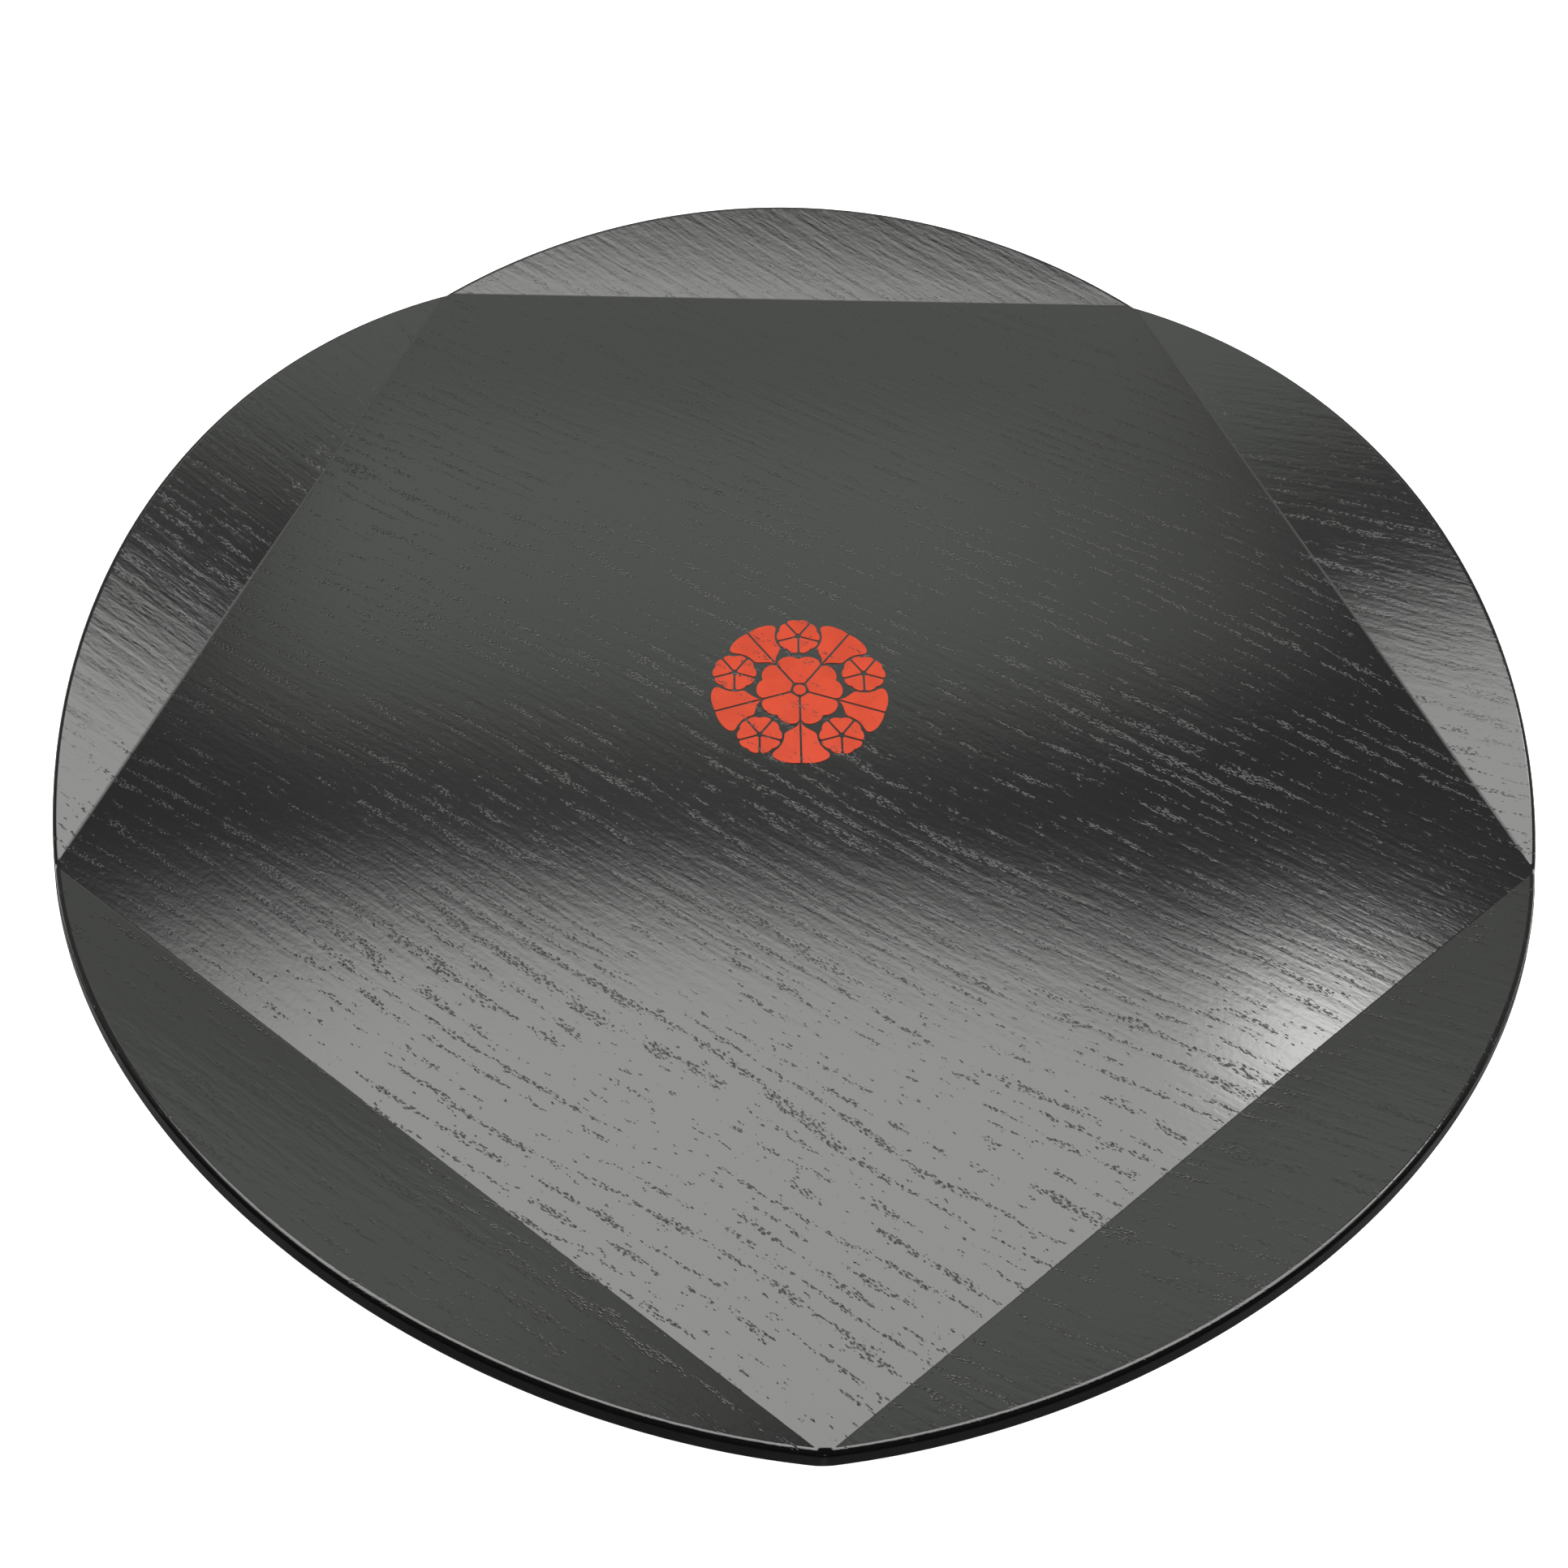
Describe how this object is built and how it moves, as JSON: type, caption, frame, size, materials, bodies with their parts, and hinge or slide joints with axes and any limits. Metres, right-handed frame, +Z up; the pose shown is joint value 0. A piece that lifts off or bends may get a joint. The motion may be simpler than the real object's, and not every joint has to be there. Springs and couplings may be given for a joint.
{
  "type": "serving tray",
  "caption": "Round black-lacquered plywood tray with a flat pentagonal base, five shallow lobes folded up along straight lines, and a red floral roundel.",
  "frame": {"origin": "centre of the flat underside, midway among the pentagon's corners", "axes": "+Z up from the underside to the rim; -Y towards the corner where the two front lobes meet"},
  "size_m": [0.3352, 0.3366, 0.016],
  "materials": {
    "black_lacquered_veneer": "gloss black lacquer over open-pored veneer",
    "ply_veneer": "plain veneer inside the sheet, its edge lacquered black at the rim",
    "red_lacquer": "satin red lacquer film"
  },
  "bodies": {
    "root": {"back_veneer": "black_lacquered_veneer", "core_ply": "ply_veneer", "crest_blossom_1_petal_1": "red_lacquer", "crest_blossom_1_petal_2": "red_lacquer", "crest_blossom_1_petal_3": "red_lacquer", "crest_blossom_1_petal_4": "red_lacquer", "crest_blossom_1_petal_5": "red_lacquer", "crest_blossom_2_petal_1": "red_lacquer", "crest_blossom_2_petal_2": "red_lacquer", "crest_blossom_2_petal_3": "red_lacquer", "crest_blossom_2_petal_4": "red_lacquer", "crest_blossom_2_petal_5": "red_lacquer", "crest_blossom_3_petal_1": "red_lacquer", "crest_blossom_3_petal_2": "red_lacquer", "crest_blossom_3_petal_3": "red_lacquer", "crest_blossom_3_petal_4": "red_lacquer", "crest_blossom_3_petal_5": "red_lacquer", "crest_blossom_4_petal_1": "red_lacquer", "crest_blossom_4_petal_2": "red_lacquer", "crest_blossom_4_petal_3": "red_lacquer", "crest_blossom_4_petal_4": "red_lacquer", "crest_blossom_4_petal_5": "red_lacquer", "crest_blossom_5_petal_1": "red_lacquer", "crest_blossom_5_petal_2": "red_lacquer", "crest_blossom_5_petal_3": "red_lacquer", "crest_blossom_5_petal_4": "red_lacquer", "crest_blossom_5_petal_5": "red_lacquer", "crest_heart": "red_lacquer", "crest_leaf_1_left": "red_lacquer", "crest_leaf_1_right": "red_lacquer", "crest_leaf_2_left": "red_lacquer", "crest_leaf_2_right": "red_lacquer", "crest_leaf_3_left": "red_lacquer", "crest_leaf_3_right": "red_lacquer", "crest_leaf_4_left": "red_lacquer", "crest_leaf_4_right": "red_lacquer", "crest_leaf_5_left": "red_lacquer", "crest_leaf_5_right": "red_lacquer", "crest_petal_1": "red_lacquer", "crest_petal_2": "red_lacquer", "crest_petal_3": "red_lacquer", "crest_petal_4": "red_lacquer", "crest_petal_5": "red_lacquer", "face_veneer": "black_lacquered_veneer", "lower_cross_ply": "ply_veneer", "upper_cross_ply": "ply_veneer"}
  },
  "joints": []
}
